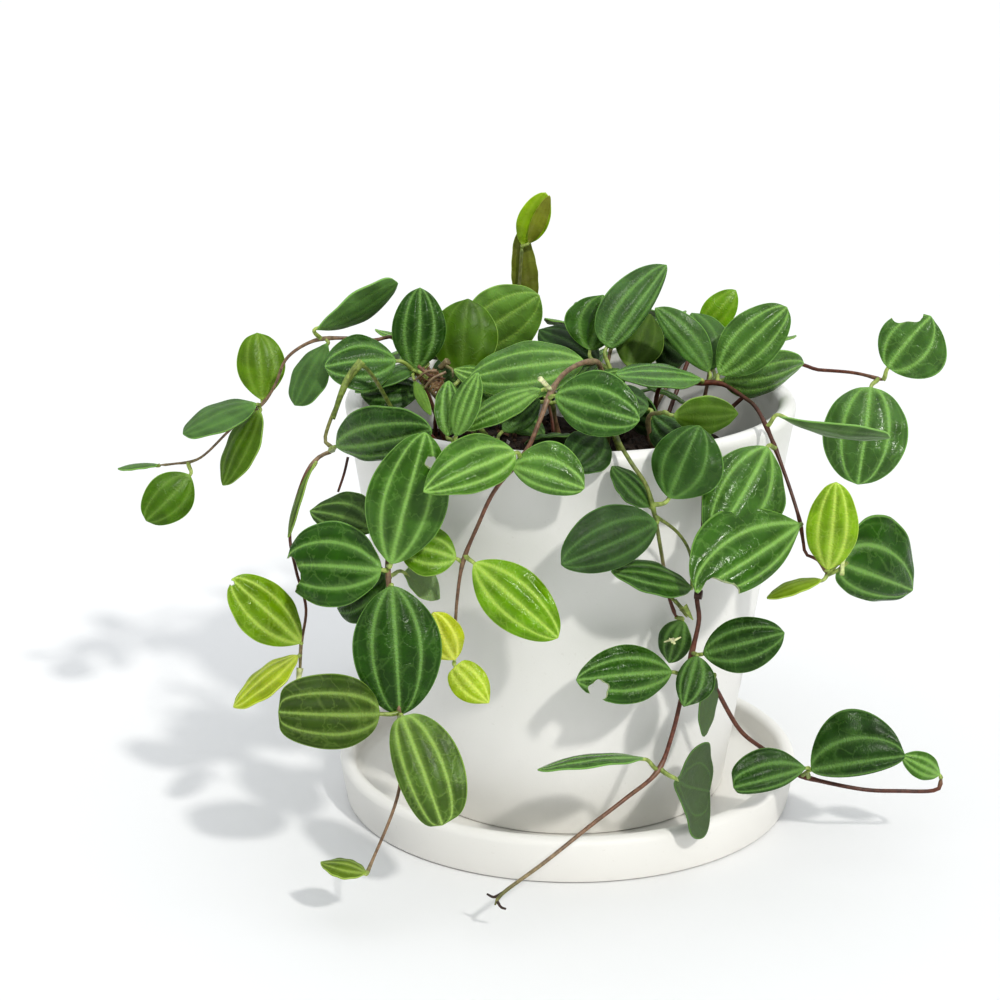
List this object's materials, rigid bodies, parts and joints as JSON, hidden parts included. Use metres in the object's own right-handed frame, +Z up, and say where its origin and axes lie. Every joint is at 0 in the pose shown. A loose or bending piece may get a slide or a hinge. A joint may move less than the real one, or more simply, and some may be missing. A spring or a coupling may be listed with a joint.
{
  "type": "potted peperomia",
  "caption": "Trailing peperomia with oval ribbed leaves on thin hanging stems, growing in soil in a plain tapered ceramic pot that stands on a round saucer.",
  "frame": {"origin": "centre of the saucer's flat underside, on the surface that the saucer stands on", "axes": "+Z up along the pot's axis; -Y to the viewer, the side where most vines hang; +X to the viewer's right"},
  "size_m": [0.2165, 0.1937, 0.1596],
  "materials": {
    "pot_ceramic": "matte",
    "saucer_ceramic": "matte",
    "soil": "matte",
    "foliage": "satin"
  },
  "bodies": {
    "root": {"saucer": "saucer_ceramic", "pot": "pot_ceramic", "soil": "soil", "vine_front_left": "foliage", "vine_left": "foliage", "vine_centre": "foliage", "vine_right_centre": "foliage", "vine_front_right": "foliage", "vine_right": "foliage", "vine_right_back": "foliage", "vine_far_left": "foliage", "shoot_left": "foliage", "shoot_back_left": "foliage", "shoot_front_left": "foliage", "shoot_centre": "foliage", "shoot_front_right": "foliage", "shoot_back_right": "foliage", "vine_back_left": "foliage", "vine_back": "foliage", "vine_back_right": "foliage", "shoot_back": "foliage", "shoot_far_back": "foliage", "shoot_side": "foliage", "shoot_middle": "foliage", "shoot_corner": "foliage"}
  },
  "joints": []
}
